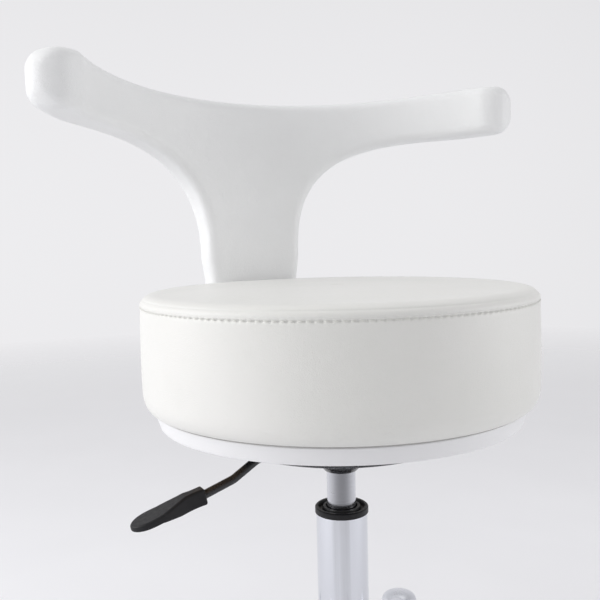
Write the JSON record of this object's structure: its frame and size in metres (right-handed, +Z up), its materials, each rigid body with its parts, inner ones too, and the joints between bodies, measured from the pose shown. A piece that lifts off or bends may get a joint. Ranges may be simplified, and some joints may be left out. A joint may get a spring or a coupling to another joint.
{
  "type": "dentist stool",
  "caption": "Height-adjustable dentist stool: round padded seat, wrap-around arm backrest, gas lift with side lever, chrome star base on twin-wheel castors.",
  "frame": {"origin": "on the floor under the column axis", "axes": "+Z up; the sitter faces -Y, the backrest stands at +Y; the release lever points to -X, the sitter's right"},
  "size_m": [0.5601, 0.5277, 0.7096],
  "materials": {
    "chrome": "polished",
    "bright_steel": "satin",
    "black_bolts": "satin",
    "black_steel": "gloss",
    "black_plastic": "matte",
    "bush_plastic": "satin",
    "rubber": "matte",
    "seat_vinyl": "satin",
    "back_vinyl": "satin",
    "band": "satin",
    "foam": "matte",
    "plywood": "matte",
    "castor_plastic": "satin",
    "castor_tyre": "matte"
  },
  "bodies": {
    "base": {"star_base": "chrome", "column_tube": "chrome", "column_collar": "black_plastic", "guide_bush": "bush_plastic", "thrust_washer_lower": "bright_steel", "castor_stems": "bright_steel"},
    "spindle": {"piston_rod": "bright_steel", "piston": "bush_plastic", "piston_seal": "rubber", "thrust_ball_cage": "bright_steel", "thrust_washer_upper": "bright_steel", "end_bumper": "rubber", "rod_clip": "bright_steel"},
    "seat": {"gas_cylinder": "bright_steel", "rod_guide": "bush_plastic", "rod_seal": "rubber", "mechanism_socket": "black_steel", "lever_pivot_pin": "bright_steel", "mounting_pan": "black_steel", "pan_bolts": "black_bolts", "pan_washers": "black_bolts", "bracket_bolts": "black_bolts", "tee_nuts": "bright_steel", "seat_board": "plywood", "seat_band": "band", "seat_foam": "foam", "seat_cover_side": "seat_vinyl", "seat_cover_top": "seat_vinyl", "backrest_bracket": "black_steel", "core_screws": "bright_steel", "backrest_core": "plywood", "backrest_pad": "back_vinyl"},
    "lever": {"lever_rod": "black_steel", "lever_paddle": "black_plastic"},
    "button": {"release_button": "bush_plastic"},
    "castor_1": {"castor_1_housing": "castor_plastic", "castor_1_axle": "bright_steel"},
    "castor_1_pair": {"castor_1_wheels": "castor_tyre"},
    "castor_2": {"castor_2_housing": "castor_plastic", "castor_2_axle": "bright_steel"},
    "castor_2_pair": {"castor_2_wheels": "castor_tyre"},
    "castor_3": {"castor_3_housing": "castor_plastic", "castor_3_axle": "bright_steel"},
    "castor_3_pair": {"castor_3_wheels": "castor_tyre"},
    "castor_4": {"castor_4_housing": "castor_plastic", "castor_4_axle": "bright_steel"},
    "castor_4_pair": {"castor_4_wheels": "castor_tyre"},
    "castor_5": {"castor_5_housing": "castor_plastic", "castor_5_axle": "bright_steel"},
    "castor_5_pair": {"castor_5_wheels": "castor_tyre"}
  },
  "joints": [
    {"name": "seat_swivel", "type": "hinge", "parent": "base", "child": "spindle", "pos_m": [0, 0, 0.06], "axis": [0, 0, 1], "continuous": true},
    {"name": "seat_lift", "type": "slide", "parent": "spindle", "child": "seat", "axis": [0, 0, 1], "range_m": [0, 0.13]},
    {"name": "lever_lift", "type": "hinge", "parent": "seat", "child": "lever", "pos_m": [-0.025, 0, 0.3455], "axis": [0, 1, 0], "range_deg": [0, 4.3], "stiffness_Nm_per_rad": 2},
    {"name": "button_press", "type": "slide", "parent": "seat", "child": "button", "axis": [0, 0, -1], "range_m": [0, 0.0021]},
    {"name": "castor_1_swivel", "type": "hinge", "parent": "base", "child": "castor_1", "pos_m": [0.18058, 0.1626, 0.05], "axis": [0, 0, 1], "continuous": true},
    {"name": "castor_1_roll", "type": "hinge", "parent": "castor_1", "child": "castor_1_pair", "pos_m": [0.16174, 0.17579, 0.025], "axis": [0.5736, 0.8192, 0], "continuous": true},
    {"name": "castor_2_swivel", "type": "hinge", "parent": "base", "child": "castor_2", "pos_m": [-0.09884, 0.22199, 0.05], "axis": [0, 0, 1], "continuous": true},
    {"name": "castor_2_roll", "type": "hinge", "parent": "castor_2", "child": "castor_2_pair", "pos_m": [-0.11768, 0.23518, 0.025], "axis": [0.5736, 0.8192, 0], "continuous": true},
    {"name": "castor_3_swivel", "type": "hinge", "parent": "base", "child": "castor_3", "pos_m": [-0.24167, -0.0254, 0.05], "axis": [0, 0, 1], "continuous": true},
    {"name": "castor_3_roll", "type": "hinge", "parent": "castor_3", "child": "castor_3_pair", "pos_m": [-0.26051, -0.01221, 0.025], "axis": [0.5736, 0.8192, 0], "continuous": true},
    {"name": "castor_4_swivel", "type": "hinge", "parent": "base", "child": "castor_4", "pos_m": [-0.05052, -0.23769, 0.05], "axis": [0, 0, 1], "continuous": true},
    {"name": "castor_4_roll", "type": "hinge", "parent": "castor_4", "child": "castor_4_pair", "pos_m": [-0.06936, -0.2245, 0.025], "axis": [0.5736, 0.8192, 0], "continuous": true},
    {"name": "castor_5_swivel", "type": "hinge", "parent": "base", "child": "castor_5", "pos_m": [0.21044, -0.1215, 0.05], "axis": [0, 0, 1], "continuous": true},
    {"name": "castor_5_roll", "type": "hinge", "parent": "castor_5", "child": "castor_5_pair", "pos_m": [0.1916, -0.10831, 0.025], "axis": [0.5736, 0.8192, 0], "continuous": true}
  ],
  "couplings": [
    {"joint": "button_press", "follows": "lever_lift", "m_per_rad": 0.027}
  ]
}
